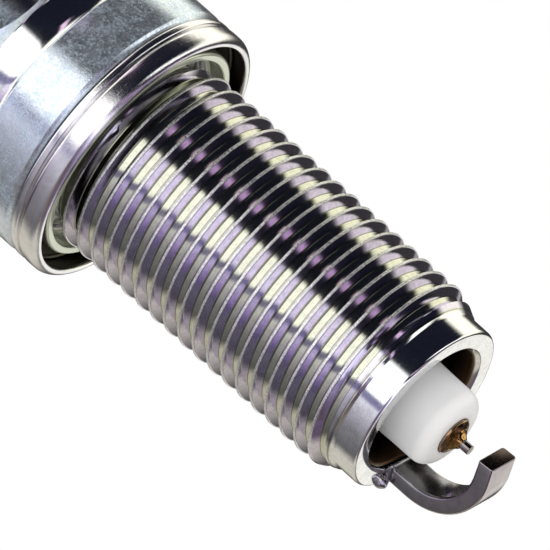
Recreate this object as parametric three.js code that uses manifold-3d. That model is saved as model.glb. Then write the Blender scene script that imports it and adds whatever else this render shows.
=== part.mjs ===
// Long-reach M14 spark plug with a projected nose and a fine-wire firing tip.
//
// Units are millimetres. The plug's axis is Z, with +Z towards the terminal. Height 0 is the
// lower face of the uncompressed gasket, which is the face that meets the cylinder head.
// The ground electrode is welded on at -X. Every turned piece shares that one axis.

import * as THREE from "three";
import { mergeVertices } from "three/addons/utils/BufferGeometryUtils.js";
import Module from "manifold-3d";

const wasm = await Module();
wasm.setup();

// ---------------------------------------------------------------- driving dimensions

const ROUND_SIDES = 24; // facets round every turned piece
const FIT_GAP = 0.05; // clearance between assembled pieces

// Shell and thread
const PITCH = 1.25;
const CREST_R = 6.875;
const ROOT_R = 6.235;
const REACH = 26.5; // from the flange's lower face to the shell's end
const FLANGE_FACE_Z = 2.25;
const SHELL_END_Z = FLANGE_FACE_Z - REACH;
const SHELL_NOSE_R = 6.05;
const SHELL_NOSE_LENGTH = 2.0;
const RIDGE_SINK = 0.15; // how far the ridge starts under the root, and the relief above it
const RIDGE_ROOT_WIDTH = 1.12;
const RIDGE_CREST_WIDTH = 0.18;
const THREAD_TOP_Z = 1.2;
const LEAD_IN_LENGTH = 1.4;
const FLANGE_R = 9.4;
const FLANGE_TOP_Z = 6.05;
const NECK_R = 7.5;
const NECK_FILLET = 0.9;
const HEX_FLATS = 16.0;
const HEX_EDGE_R = 7.72; // round edge under the hexagon
const HEX_BOTTOM_Z = 8.95;
const HEX_CORNER_SLOPE = 0.93; // rise of the cone that turns off the lower corners, per millimetre
const HEX_TOP_Z = 18.2;
const LIP_TOP_Z = 19.9;
const LIP_R = 5.6;

// Bores of the shell
const MOUTH_BORE_R = 4.45;
const MOUTH_CHAMFER = 0.35;
const LEDGE_BORE_R = 3.95;
const BODY_BORE_R = 4.75;
const HEAD_BORE_R = 6.55;
const LEDGE_Z = -11.1; // inner edge of the seat cone
const SEAT_SLOPE = 0.6875; // rise of the seat cone per millimetre of radius
const SHOULDER_Z = 5.4; // foot of the cone that opens into the head's bore
const SHOULDER_SLOPE = 0.833;
const HEAD_BORE_TOP_Z = 18.35;

// Gasket
const GASKET_R = 9.4;
const GASKET_HOLE_R = 6.95;
const GASKET_HEIGHT = 2.15;
const GASKET_SHEET = 0.5; // thickness of the upper layer
const GASKET_FOLD_R = 7.85; // outside of the inner fold
const GASKET_LIP_R = 8.6; // inside of the rolled outer wall
const GASKET_CREASE_Z = 1.55;

// Insulator
const INSULATOR_END_Z = -26.7;
const INSULATOR_TIP_R = 2.75;
const INSULATOR_TIP_ROUND = 1.15;
const INSULATOR_BODY_R = 4.6;
const INSULATOR_FLANGE_R = 6.4;
const INSULATOR_FLANGE_TOP_Z = 12.4;
const INSULATOR_HEAD_R = 5.2;
const INSULATOR_TOP_Z = 41.2;
const NOSE_BORE_R = 1.29;
const CORE_BORE_R = 2.0;
const BORE_STEP_Z = -9.2;
const RIB_COUNT = 5;
const RIB_PITCH = 2.4;
const RIB_FIRST_Z = 23.6;
const RIB_GROOVE_DEPTH = 0.6;

// Electrodes
const ELECTRODE_R = 1.25;
const ELECTRODE_CONE_Z = -26.85; // start of the cone, just past the insulator
const WELD_START_Z = -27.1;
const WELD_START_R = 0.78;
const WELD_END_Z = -27.5;
const WELD_END_R = 0.4;
const TIP_R = 0.325;
const TIP_END_Z = -28.15;
const GROUND_WIDTH = 2.4;
const GROUND_THICKNESS = 1.15;
const GROUND_FOOT_X = -4.8; // middle of the bar's thickness at the foot
const GROUND_BEND_Z = -26.0; // where the straight foot ends
const GROUND_BEND_R = 4.15; // to the middle of the thickness
const GROUND_BEND_SWEEP = THREE.MathUtils.degToRad(95);
const GROUND_ARM_LENGTH = 1.3; // straight stretch past the bend
const GROUND_EDGE = 0.18;

// Terminal
const STUD_SHANK_R = 1.75;
const STUD_FOOT_Z = 10.5;
const STUD_SERRATED_R = 1.5;
const STUD_SERRATED_TOP_Z = 20;
const STUD_COLLAR_R = 3.2;
const STUD_COLLAR_HEIGHT = 0.8;
const STUD_TOP_Z = 49.8;
const STUD_PITCH = 0.7;
const STUD_CREST_R = 1.97;
const STUD_ROOT_R = 1.6;
const STUD_SIDES = 12;
const NUT_TOP_Z = 50.5;
const NUT_BORE_R = 2.06;
const NUT_HEAD_R = 3.175;

// ---------------------------------------------------------------- shape helpers

const degrees = THREE.MathUtils.degToRad;

/** Points along an arc in the (radius, height) plane, both ends included. */
function arc(centreR, centreZ, radius, fromDegrees, toDegrees, steps) {
  const points = [];
  for (let i = 0; i <= steps; i += 1) {
    const angle = degrees(fromDegrees + ((toDegrees - fromDegrees) * i) / steps);
    points.push([centreR + radius * Math.cos(angle), centreZ + radius * Math.sin(angle)]);
  }
  return points;
}

/**
 * Piece turned about Z from [radius, height] points, counter-clockwise with radius to the right.
 * A profile that starts and ends on the axis is solid, and any other closes on itself.
 */
function turned(points, sides = ROUND_SIDES) {
  const onAxis = points[0][0] === 0 && points[points.length - 1][0] === 0;
  const profile = onAxis ? points : [...points, points[0]];
  const outline = profile.map(([radius, height]) => new THREE.Vector2(radius, height));
  const geometry = new THREE.LatheGeometry(outline, sides);
  geometry.rotateX(Math.PI / 2);
  return geometry;
}

/** Solid for a boolean, from a closed geometry. */
function solid(geometry) {
  const bare = geometry.clone();
  bare.deleteAttribute("normal");
  bare.deleteAttribute("uv");
  const merged = mergeVertices(bare, 1e-4);
  const mesh = new wasm.Mesh({
    numProp: 3,
    vertProperties: new Float32Array(merged.attributes.position.array),
    triVerts: new Uint32Array(merged.index.array),
  });
  mesh.merge();
  return new wasm.Manifold(mesh);
}

/** Geometry of a finished solid, without the slivers that coinciding edges leave in a join. */
function surface(manifold) {
  const mesh = manifold.getMesh();
  const joined = new THREE.BufferGeometry();
  joined.setAttribute("position", new THREE.BufferAttribute(mesh.vertProperties, 3));
  joined.setIndex(new THREE.BufferAttribute(mesh.triVerts, 1));
  const geometry = mergeVertices(joined, 1e-3);
  const corners = geometry.index.array;
  const kept = [];
  for (let i = 0; i < corners.length; i += 3) {
    const [a, b, c] = corners.slice(i, i + 3);
    if (a !== b && b !== c && c !== a) kept.push(a, b, c);
  }
  geometry.setIndex(kept);
  geometry.computeVertexNormals();
  return geometry;
}

/**
 * Right-hand helical ridge of trapezoid section. A straight bar is extruded with its section in
 * (radius, height), and each step of it is then wound round Z, one pitch higher each turn. Its
 * steps fall on the facets of a turned piece with the same number of sides.
 */
function helicalRidge({ pitch, rootR, crestR, rootWidth, crestWidth, fromZ, toZ, sides }) {
  const steps = Math.round(((toZ - fromZ) / pitch) * sides);
  const turns = steps / sides;
  const section = new THREE.Shape();
  section.moveTo(rootR, -rootWidth / 2);
  section.lineTo(crestR, -crestWidth / 2);
  section.lineTo(crestR, crestWidth / 2);
  section.lineTo(rootR, rootWidth / 2);
  section.closePath();
  const bar = new THREE.ExtrudeGeometry(section, { depth: 1, steps, bevelEnabled: false });
  const position = bar.attributes.position;
  for (let i = 0; i < position.count; i += 1) {
    const radius = position.getX(i);
    const along = position.getZ(i);
    const angle = along * turns * 2 * Math.PI;
    const height = fromZ + along * turns * pitch - position.getY(i);
    position.setXYZ(i, radius * Math.cos(angle), radius * Math.sin(angle), height);
  }
  return bar;
}

const group = new THREE.Group();

/** Named piece with a finish of its own. */
function addPiece(name, geometry, { color, roughness, metalness }) {
  const material = new THREE.MeshStandardMaterial({ color, roughness, metalness });
  const mesh = new THREE.Mesh(geometry, material);
  mesh.name = name;
  group.add(mesh);
  return mesh;
}

// ---------------------------------------------------------------- finishes

const PLATED_STEEL = { color: 0xcfd0d4, roughness: 0.22, metalness: 1 };
const GASKET_STEEL = { color: 0xd6d4d0, roughness: 0.3, metalness: 1 };
const CERAMIC = { color: 0xf1f1f2, roughness: 0.35, metalness: 0 };
const DULL_STEEL = { color: 0x8e8f92, roughness: 0.45, metalness: 1 };
const NICKEL_ALLOY = { color: 0x6b676c, roughness: 0.4, metalness: 1 };
const FUSED_ALLOY = { color: 0x8a6a34, roughness: 0.35, metalness: 1 };
const PRECIOUS_WIRE = { color: 0x5a5048, roughness: 0.3, metalness: 1 };
const COPPER = { color: 0xb87333, roughness: 0.35, metalness: 1 };
const GLASS_SEAL = { color: 0x5b5f63, roughness: 0.6, metalness: 0.2 };
const RESISTOR_MIX = { color: 0x232323, roughness: 0.8, metalness: 0 };
const TALC = { color: 0xe7e3d6, roughness: 0.95, metalness: 0 };

// ---------------------------------------------------------------- metal shell

/** Helical ridge of the shell's thread, trimmed to a lead-in cone and a run-out. */
function shellThread() {
  const leadInZ = SHELL_END_Z + SHELL_NOSE_LENGTH - 0.1;
  const ridge = helicalRidge({
    pitch: PITCH,
    rootR: ROOT_R - RIDGE_SINK,
    crestR: CREST_R,
    rootWidth: RIDGE_ROOT_WIDTH,
    crestWidth: RIDGE_CREST_WIDTH,
    fromZ: leadInZ - 0.1,
    toZ: THREAD_TOP_Z,
    sides: ROUND_SIDES,
  });
  const limits = turned([
    [0, leadInZ],
    [SHELL_NOSE_R - 0.06, leadInZ],
    [CREST_R + 0.08, leadInZ + LEAD_IN_LENGTH],
    [CREST_R + 0.08, THREAD_TOP_Z - 0.7],
    [ROOT_R - 0.1, THREAD_TOP_Z],
    [0, THREAD_TOP_Z],
  ]);
  return solid(ridge).intersect(solid(limits));
}

/** Outside of the shell without its thread and hexagon, as a solid turning. */
function shellTurning() {
  const noseTopZ = SHELL_END_Z + SHELL_NOSE_LENGTH;
  return turned([
    [0, SHELL_END_Z],
    [SHELL_NOSE_R - 0.2, SHELL_END_Z],
    [SHELL_NOSE_R, SHELL_END_Z + 0.2],
    [SHELL_NOSE_R, noseTopZ],
    [ROOT_R, noseTopZ + 0.3],
    [ROOT_R, THREAD_TOP_Z - 0.2],
    [ROOT_R - RIDGE_SINK, THREAD_TOP_Z],
    [ROOT_R - RIDGE_SINK, FLANGE_FACE_Z],
    [FLANGE_R - 0.3, FLANGE_FACE_Z],
    [FLANGE_R, FLANGE_FACE_Z + 0.25],
    [FLANGE_R, FLANGE_TOP_Z - 0.15],
    [FLANGE_R - 0.2, FLANGE_TOP_Z],
    ...arc(NECK_R + NECK_FILLET, FLANGE_TOP_Z + NECK_FILLET, NECK_FILLET, 270, 180, 3),
    [NECK_R, HEX_BOTTOM_Z - 1.0],
    [NECK_R + 0.07, HEX_BOTTOM_Z - 0.5],
    [HEX_EDGE_R, HEX_BOTTOM_Z],
    [NECK_R - 0.4, HEX_BOTTOM_Z + 0.2],
    [NECK_R - 0.4, HEX_TOP_Z - 0.4],
    [NECK_R - 0.5, HEX_TOP_Z + 0.2],
    ...arc(LIP_R + 0.35, HEX_TOP_Z + 0.2, 1.5, 20, 90, 4),
    [LIP_R, LIP_TOP_Z - 0.1],
    [0, LIP_TOP_Z - 0.1],
  ]);
}

/** Spanner hexagon with its corners turned off at both ends. */
function shellHexagon() {
  const height = HEX_TOP_Z - HEX_BOTTOM_Z;
  const cornerR = HEX_FLATS / 2 / Math.cos(Math.PI / 6);
  const prism = new THREE.CylinderGeometry(cornerR, cornerR, height, 6);
  prism.rotateX(Math.PI / 2);
  prism.rotateZ(Math.PI / 6);
  prism.translate(0, 0, HEX_BOTTOM_Z + height / 2);
  const corners = turned([
    [0, HEX_BOTTOM_Z - 0.1],
    [HEX_EDGE_R, HEX_BOTTOM_Z - 0.1],
    [HEX_EDGE_R, HEX_BOTTOM_Z],
    [cornerR + 0.1, HEX_BOTTOM_Z + (cornerR + 0.1 - HEX_EDGE_R) * HEX_CORNER_SLOPE],
    [cornerR + 0.1, HEX_TOP_Z - 0.9],
    [HEX_FLATS / 2 - 0.25, HEX_TOP_Z + 0.1],
    [0, HEX_TOP_Z + 0.1],
  ]);
  return solid(prism).intersect(solid(corners));
}

/** Everything bored out of the shell, from the firing end to the crimped lip. */
function shellBores() {
  const ledgeWidth = BODY_BORE_R - LEDGE_BORE_R;
  const shoulderWidth = HEAD_BORE_R - BODY_BORE_R;
  return turned([
    [0, SHELL_END_Z - 1],
    [MOUTH_BORE_R + MOUTH_CHAMFER, SHELL_END_Z - 1],
    [MOUTH_BORE_R + MOUTH_CHAMFER, SHELL_END_Z],
    [MOUTH_BORE_R, SHELL_END_Z + MOUTH_CHAMFER],
    [MOUTH_BORE_R, LEDGE_Z - 2.1],
    [LEDGE_BORE_R, LEDGE_Z - 1.2],
    [LEDGE_BORE_R, LEDGE_Z],
    [BODY_BORE_R, LEDGE_Z + ledgeWidth * SEAT_SLOPE],
    [BODY_BORE_R, SHOULDER_Z],
    [HEAD_BORE_R, SHOULDER_Z + shoulderWidth * SHOULDER_SLOPE],
    [HEAD_BORE_R, HEAD_BORE_TOP_Z],
    [LIP_R, HEAD_BORE_TOP_Z + 0.8],
    [LIP_R, LIP_TOP_Z + 1],
    [0, LIP_TOP_Z + 1],
  ]);
}

function metalShell() {
  const outside = solid(shellTurning()).add(shellThread()).add(shellHexagon());
  return surface(outside.subtract(solid(shellBores())));
}

addPiece("metal_shell", metalShell(), PLATED_STEEL);

// ---------------------------------------------------------------- gasket

/** Folded ring: a flat upper layer, a rolled outer wall and an inner fold, open underneath. */
function gasket() {
  const roundR = 0.3;
  const foldInnerR = GASKET_FOLD_R - 0.35;
  return turned([
    [GASKET_HOLE_R, GASKET_HEIGHT - GASKET_SHEET],
    [foldInnerR, GASKET_HEIGHT - GASKET_SHEET],
    [foldInnerR, 0.45],
    [GASKET_FOLD_R, 0.45],
    [GASKET_FOLD_R, 1.25],
    [GASKET_LIP_R, 1.25],
    [GASKET_LIP_R, 0.15],
    [GASKET_LIP_R + 0.1, 0],
    ...arc(GASKET_R - roundR, roundR, roundR, 270, 360, 3),
    [GASKET_R, GASKET_CREASE_Z - 0.25],
    [GASKET_R - 0.2, GASKET_CREASE_Z],
    [GASKET_R, GASKET_CREASE_Z + 0.2],
    [GASKET_R, GASKET_HEIGHT - 0.2],
    [GASKET_R - 0.2, GASKET_HEIGHT],
    [GASKET_HOLE_R, GASKET_HEIGHT],
  ]);
}

addPiece("gasket", gasket(), GASKET_STEEL);

// ---------------------------------------------------------------- insulator

/** Seat cone's height at a radius, so that the shell, washer and insulator share one slope. */
function seatHeight(radius, above) {
  return LEDGE_Z + (radius - LEDGE_BORE_R) * SEAT_SLOPE + above;
}

/** Ribbed stretch of the head, from bottom to top: a rounded groove above each rib. */
function insulatorRibs() {
  const points = [];
  const grooveR = INSULATOR_HEAD_R - RIB_GROOVE_DEPTH;
  for (let i = 0; i < RIB_COUNT; i += 1) {
    const z = RIB_FIRST_Z + i * RIB_PITCH;
    points.push([INSULATOR_HEAD_R, z]);
    points.push([grooveR + 0.1, z + 0.35]);
    points.push([grooveR, z + 0.75]);
    points.push([grooveR + 0.1, z + 1.15]);
    points.push([INSULATOR_HEAD_R, z + 1.5]);
  }
  return points;
}

function insulator() {
  const tipRoundR = INSULATOR_TIP_R - INSULATOR_TIP_ROUND;
  const tipRoundZ = INSULATOR_END_Z + INSULATOR_TIP_ROUND;
  const washer = 0.45;
  const shoulderFootZ = SHOULDER_Z + 0.3;
  const shoulderRise = (INSULATOR_FLANGE_R - INSULATOR_BODY_R) * SHOULDER_SLOPE;
  return turned([
    [NOSE_BORE_R, INSULATOR_END_Z],
    ...arc(tipRoundR, tipRoundZ, INSULATOR_TIP_ROUND, 270, 360, 4),
    [2.85, -20.5],
    [3.45, -13.4],
    [3.68, -11.9],
    [3.7, seatHeight(3.7, washer)],
    [INSULATOR_BODY_R, seatHeight(INSULATOR_BODY_R, washer)],
    [INSULATOR_BODY_R, shoulderFootZ],
    [INSULATOR_FLANGE_R, shoulderFootZ + shoulderRise],
    [INSULATOR_FLANGE_R, INSULATOR_FLANGE_TOP_Z],
    [INSULATOR_HEAD_R + 0.05, INSULATOR_FLANGE_TOP_Z + 1],
    [INSULATOR_HEAD_R + 0.05, LIP_TOP_Z + 0.6],
    [INSULATOR_HEAD_R, LIP_TOP_Z + 1],
    ...insulatorRibs(),
    [4.75, RIB_FIRST_Z + RIB_COUNT * RIB_PITCH + 0.4],
    [4.3, INSULATOR_TOP_Z - 0.9],
    ...arc(3.5, INSULATOR_TOP_Z - 0.8, 0.8, 0, 90, 3),
    [CORE_BORE_R + 0.2, INSULATOR_TOP_Z],
    [CORE_BORE_R, INSULATOR_TOP_Z - 0.2],
    [CORE_BORE_R, BORE_STEP_Z],
    [NOSE_BORE_R, BORE_STEP_Z - 0.45],
  ]);
}

addPiece("insulator", insulator(), CERAMIC);

// ---------------------------------------------------------------- packings between insulator and shell

function seatPacking() {
  const innerR = LEDGE_BORE_R + 0.02;
  const outerR = BODY_BORE_R - 0.1;
  const height = 0.3;
  return turned([
    [innerR, seatHeight(innerR, FIT_GAP)],
    [outerR, seatHeight(outerR, FIT_GAP)],
    [outerR, seatHeight(outerR, FIT_GAP + height)],
    [innerR, seatHeight(innerR, FIT_GAP + height)],
  ]);
}

const WIRE_R = 0.55;
const WIRE_RING_R = 5.9;
const LOWER_WIRE_Z = 14.05;
const UPPER_WIRE_Z = 17.75;

/** Wire ring of round section, squeezed between the insulator's neck and the shell. */
function packingRing(height) {
  return turned(arc(WIRE_RING_R, height, WIRE_R, 0, 315, 7));
}

function talcRing() {
  const innerR = INSULATOR_HEAD_R + 0.1;
  const outerR = HEAD_BORE_R - FIT_GAP;
  const bottomZ = LOWER_WIRE_Z + WIRE_R + FIT_GAP;
  const topZ = UPPER_WIRE_Z - WIRE_R - FIT_GAP;
  return turned([
    [innerR, bottomZ],
    [outerR, bottomZ],
    [outerR, topZ],
    [innerR, topZ],
  ]);
}

addPiece("seat_packing", seatPacking(), DULL_STEEL);
addPiece("lower_packing_ring", packingRing(LOWER_WIRE_Z), DULL_STEEL);
addPiece("talc_ring", talcRing(), TALC);
addPiece("upper_packing_ring", packingRing(UPPER_WIRE_Z), DULL_STEEL);

// ---------------------------------------------------------------- centre electrode and its firing tip

const CORE_R = 0.7;
const CORE_END_Z = -25.5;
const HEAD_R = CORE_BORE_R - 0.06;
const HEAD_TOP_Z = -8.2;

/** Alloy rod: a head that seats on the insulator's step, a shank, a cone and a bore for its core. */
function centreElectrode() {
  const coreBoreR = CORE_R + 0.02;
  return turned([
    [0, WELD_START_Z + 0.01],
    [WELD_START_R, WELD_START_Z + 0.01],
    [ELECTRODE_R, ELECTRODE_CONE_Z],
    [ELECTRODE_R, BORE_STEP_Z - 0.35],
    [HEAD_R, BORE_STEP_Z + 0.1],
    [HEAD_R, HEAD_TOP_Z],
    [coreBoreR, HEAD_TOP_Z],
    [coreBoreR, CORE_END_Z],
    [0, CORE_END_Z],
  ]);
}

function electrodeCore() {
  return turned([
    [0, CORE_END_Z + 0.03],
    [CORE_R, CORE_END_Z + 0.03],
    [CORE_R, HEAD_TOP_Z],
    [0, HEAD_TOP_Z],
  ]);
}

/** Fused cone that carries the wire in a socket. */
function firingTipWeld() {
  const socketR = TIP_R + 0.02;
  const socketZ = WELD_START_Z - 0.12;
  return turned([
    [0, socketZ],
    [socketR, socketZ],
    [socketR, WELD_END_Z],
    [WELD_END_R, WELD_END_Z],
    [0.52, WELD_END_Z + 0.18],
    [WELD_START_R, WELD_START_Z - 0.01],
    [0, WELD_START_Z - 0.01],
  ]);
}

function firingTip() {
  return turned([
    [0, TIP_END_Z],
    [TIP_R - 0.03, TIP_END_Z],
    [TIP_R, TIP_END_Z + 0.03],
    [TIP_R, WELD_START_Z - 0.14],
    [0, WELD_START_Z - 0.14],
  ]);
}

addPiece("centre_electrode", centreElectrode(), NICKEL_ALLOY);
addPiece("centre_electrode_core", electrodeCore(), COPPER);
addPiece("firing_tip_weld", firingTipWeld(), FUSED_ALLOY);
addPiece("firing_tip", firingTip(), PRECIOUS_WIRE);

// ---------------------------------------------------------------- seals, resistor and terminal stud

const CARTRIDGE_R = CORE_BORE_R - 0.04;
const LOWER_SEAL_TOP_Z = -3.0;
const RESISTOR_TOP_Z = 9.0;
const UPPER_SEAL_TOP_Z = 15.0;
const STUD_COLLAR_Z = INSULATOR_TOP_Z + FIT_GAP;
const STUD_COLLAR_TOP_Z = STUD_COLLAR_Z + STUD_COLLAR_HEIGHT;

function plugOf(radius, bottomZ, topZ) {
  return turned([
    [0, bottomZ],
    [radius, bottomZ],
    [radius, topZ],
    [0, topZ],
  ]);
}

/** Glass fused round the stud's serrated foot. */
function upperGlassSeal() {
  const footR = STUD_SERRATED_R + FIT_GAP;
  const footZ = STUD_FOOT_Z - FIT_GAP;
  return turned([
    [0, RESISTOR_TOP_Z + FIT_GAP],
    [CARTRIDGE_R, RESISTOR_TOP_Z + FIT_GAP],
    [CARTRIDGE_R, UPPER_SEAL_TOP_Z],
    [footR, UPPER_SEAL_TOP_Z],
    [footR, footZ],
    [0, footZ],
  ]);
}

/** Steel stem with a collar on the insulator's end and a threaded top for the nut. */
function terminalStud() {
  const grooves = [];
  const pitch = 1.2;
  for (let z = STUD_FOOT_Z + 0.6; z < STUD_SERRATED_TOP_Z - pitch; z += pitch) {
    grooves.push([STUD_SERRATED_R, z]);
    grooves.push([STUD_SERRATED_R - 0.2, z + 0.25]);
    grooves.push([STUD_SERRATED_R, z + 0.5]);
  }
  const stem = turned([
    [0, STUD_FOOT_Z],
    [STUD_SERRATED_R - 0.3, STUD_FOOT_Z],
    [STUD_SERRATED_R, STUD_FOOT_Z + 0.3],
    ...grooves,
    [STUD_SERRATED_R, STUD_SERRATED_TOP_Z],
    [STUD_SHANK_R, STUD_SERRATED_TOP_Z + 0.3],
    [STUD_SHANK_R, STUD_COLLAR_Z],
    [STUD_COLLAR_R, STUD_COLLAR_Z],
    [STUD_COLLAR_R, STUD_COLLAR_TOP_Z - 0.15],
    [STUD_COLLAR_R - 0.15, STUD_COLLAR_TOP_Z],
    [STUD_ROOT_R, STUD_COLLAR_TOP_Z],
    [STUD_ROOT_R, STUD_TOP_Z - 0.2],
    [STUD_ROOT_R - 0.25, STUD_TOP_Z],
    [0, STUD_TOP_Z],
  ], STUD_SIDES);
  const ridge = helicalRidge({
    pitch: STUD_PITCH,
    rootR: STUD_ROOT_R - 0.1,
    crestR: STUD_CREST_R,
    rootWidth: 0.62,
    crestWidth: 0.1,
    fromZ: STUD_COLLAR_TOP_Z + 0.5,
    toZ: STUD_TOP_Z - 0.4,
    sides: STUD_SIDES,
  });
  return surface(solid(stem).add(solid(ridge)));
}

addPiece("lower_glass_seal", plugOf(CARTRIDGE_R, HEAD_TOP_Z + FIT_GAP, LOWER_SEAL_TOP_Z), GLASS_SEAL);
addPiece("resistor", plugOf(CARTRIDGE_R, LOWER_SEAL_TOP_Z + FIT_GAP, RESISTOR_TOP_Z), RESISTOR_MIX);
addPiece("upper_glass_seal", upperGlassSeal(), GLASS_SEAL);
addPiece("terminal_stud", terminalStud(), DULL_STEEL);

// ---------------------------------------------------------------- terminal nut

/** Screw-on connector: a wide foot, a waist that the lead's clip snaps into, and a round head. */
function terminalNut() {
  const footZ = STUD_COLLAR_TOP_Z + FIT_GAP;
  const waistR = 2.65;
  return turned([
    [NUT_BORE_R, footZ],
    [3.4, footZ],
    [3.6, footZ + 0.2],
    [3.6, footZ + 1.1],
    [3.3, footZ + 1.5],
    [waistR, footZ + 2.2],
    [waistR, footZ + 3.4],
    [NUT_HEAD_R, footZ + 4.2],
    [NUT_HEAD_R, NUT_TOP_Z - 1.2],
    [NUT_HEAD_R - 0.12, NUT_TOP_Z - 0.6],
    [NUT_HEAD_R - 0.4, NUT_TOP_Z],
    [NUT_BORE_R + 0.15, NUT_TOP_Z],
    [NUT_BORE_R, NUT_TOP_Z - 0.15],
  ]);
}

addPiece("terminal_nut", terminalNut(), PLATED_STEEL);

// ---------------------------------------------------------------- ground electrode

const GROUND_FOOT_Z = SHELL_END_Z - 0.02;

/** Side view of the bar: x outwards, y along the plug's axis. */
function groundOutline(margin) {
  const half = GROUND_THICKNESS / 2 - margin;
  const centreX = GROUND_FOOT_X + GROUND_BEND_R;
  const endAngle = Math.PI + GROUND_BEND_SWEEP;
  const armX = -Math.sin(endAngle);
  const armZ = Math.cos(endAngle);
  const length = GROUND_ARM_LENGTH - margin;
  const outline = new THREE.Shape();
  const outerR = GROUND_BEND_R + half;
  const innerR = GROUND_BEND_R - half;
  const endAt = (radius, along) => [
    centreX + radius * Math.cos(endAngle) + along * armX,
    GROUND_BEND_Z + radius * Math.sin(endAngle) + along * armZ,
  ];
  outline.moveTo(GROUND_FOOT_X + half, GROUND_FOOT_Z - margin);
  outline.lineTo(GROUND_FOOT_X - half, GROUND_FOOT_Z - margin);
  outline.absarc(centreX, GROUND_BEND_Z, outerR, Math.PI, endAngle, false);
  outline.lineTo(...endAt(outerR, length));
  outline.lineTo(...endAt(innerR, length));
  outline.absarc(centreX, GROUND_BEND_Z, innerR, endAngle, Math.PI, true);
  outline.closePath();
  return outline;
}

/** Rectangular bar with broken edges, extruded across its width. */
function groundElectrode() {
  const geometry = new THREE.ExtrudeGeometry(groundOutline(GROUND_EDGE), {
    depth: GROUND_WIDTH - 2 * GROUND_EDGE,
    curveSegments: 12,
    bevelEnabled: true,
    bevelThickness: GROUND_EDGE,
    bevelSize: GROUND_EDGE,
    bevelSegments: 1,
  });
  geometry.translate(0, 0, GROUND_EDGE - GROUND_WIDTH / 2);
  geometry.rotateX(Math.PI / 2);
  return geometry;
}

/** Fused metal squeezed out round the foot, with a splash bead at one corner. */
function groundElectrodeWeld() {
  const spread = 0.24;
  const height = 0.42;
  const gap = 0.03;
  const outerX = GROUND_THICKNESS / 2 + spread;
  const outerY = GROUND_WIDTH / 2 + spread;
  const frame = new THREE.Shape();
  frame.moveTo(-outerX, -outerY);
  frame.lineTo(outerX, -outerY);
  frame.lineTo(outerX, outerY);
  frame.lineTo(-outerX, outerY);
  frame.closePath();
  const bevel = 0.12;
  const flash = new THREE.ExtrudeGeometry(frame, {
    depth: height - 2 * bevel,
    bevelEnabled: true,
    bevelThickness: bevel,
    bevelSize: bevel,
    bevelOffset: -bevel,
    bevelSegments: 1,
  });
  flash.translate(GROUND_FOOT_X, 0, GROUND_FOOT_Z - height + bevel);
  const socket = new THREE.BoxGeometry(
    GROUND_THICKNESS + 2 * gap,
    GROUND_WIDTH + 2 * gap,
    3 * height,
  );
  socket.translate(GROUND_FOOT_X, 0, GROUND_FOOT_Z);
  const beadR = 0.4;
  const bead = new THREE.SphereGeometry(beadR, 12, 8);
  bead.translate(GROUND_FOOT_X - 0.75, -GROUND_WIDTH / 2 - 0.35, GROUND_FOOT_Z - beadR);
  return surface(solid(flash).add(solid(bead)).subtract(solid(socket)));
}

addPiece("ground_electrode", groundElectrode(), NICKEL_ALLOY);
addPiece("ground_electrode_weld", groundElectrodeWeld(), NICKEL_ALLOY);

export default group;
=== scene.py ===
"""Studio scene of a long-reach M14 spark plug, laid out as a Blender add-on.

Every piece is shaped in millimetres and scaled to metres when it is finished. The plug stands
on Z with the terminal up and the firing end down, and its gasket's lower face is at height 0.
"""

import math
from types import SimpleNamespace

import bmesh
import bpy
from mathutils import Matrix, Vector, noise


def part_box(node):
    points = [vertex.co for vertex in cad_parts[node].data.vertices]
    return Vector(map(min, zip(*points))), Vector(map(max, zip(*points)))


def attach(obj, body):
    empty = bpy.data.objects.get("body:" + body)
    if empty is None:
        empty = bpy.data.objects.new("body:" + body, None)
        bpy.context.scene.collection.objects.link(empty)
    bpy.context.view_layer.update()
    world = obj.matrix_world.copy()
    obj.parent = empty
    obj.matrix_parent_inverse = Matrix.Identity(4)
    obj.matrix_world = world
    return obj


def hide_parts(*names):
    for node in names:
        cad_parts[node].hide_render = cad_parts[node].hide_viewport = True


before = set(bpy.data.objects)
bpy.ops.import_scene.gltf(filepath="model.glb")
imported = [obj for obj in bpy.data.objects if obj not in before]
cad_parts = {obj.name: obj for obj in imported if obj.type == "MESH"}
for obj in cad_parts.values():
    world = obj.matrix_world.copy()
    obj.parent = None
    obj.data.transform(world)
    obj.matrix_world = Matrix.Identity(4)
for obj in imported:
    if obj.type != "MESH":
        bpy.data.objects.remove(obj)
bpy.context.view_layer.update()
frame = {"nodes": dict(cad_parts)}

bl_info = {
    "name": "Spark Plug",
    "version": (1, 0, 0),
    "blender": (4, 5, 0),
    "location": "3D View > Sidebar > Spark Plug",
    "description": "Builds the pieces of a spark plug and a small studio for it",
    "category": "Object",
}

MM = 0.001
MERGE = 1e-4  # millimetres
AXIS = (0.0, 0.0, 1.0)
ORIGIN = (0.0, 0.0, 0.0)
TAB = "Spark Plug"

# Directions that the stage and its light are laid out on
AIM_AZIMUTH = math.atan2(-0.731, 0.682)
TOWARDS_CAMERA = Vector((math.cos(AIM_AZIMUTH), math.sin(AIM_AZIMUTH), 0.0))
ACROSS = Vector((-TOWARDS_CAMERA.y, TOWARDS_CAMERA.x, 0.0))
UP = Vector(AXIS)


# ------------------------------------------------------------------ settings

def cad_size(node, corner, axis):
    """One coordinate of a CAD node's box, in metres."""
    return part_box(node)[corner][axis]


def length(name, description, default):
    return bpy.props.FloatProperty(
        name=name, description=description, default=default, unit="LENGTH", precision=5
    )


def angle(name, description, default):
    return bpy.props.FloatProperty(
        name=name, description=description, default=default, subtype="ANGLE"
    )


def colour(name, description, default):
    return bpy.props.FloatVectorProperty(
        name=name, description=description, default=default, subtype="COLOR", size=3,
        min=0.0, max=1.0,
    )


def amount(name, description, default):
    return bpy.props.FloatProperty(
        name=name, description=description, default=default, min=0.0, max=1.0, subtype="FACTOR"
    )


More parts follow.
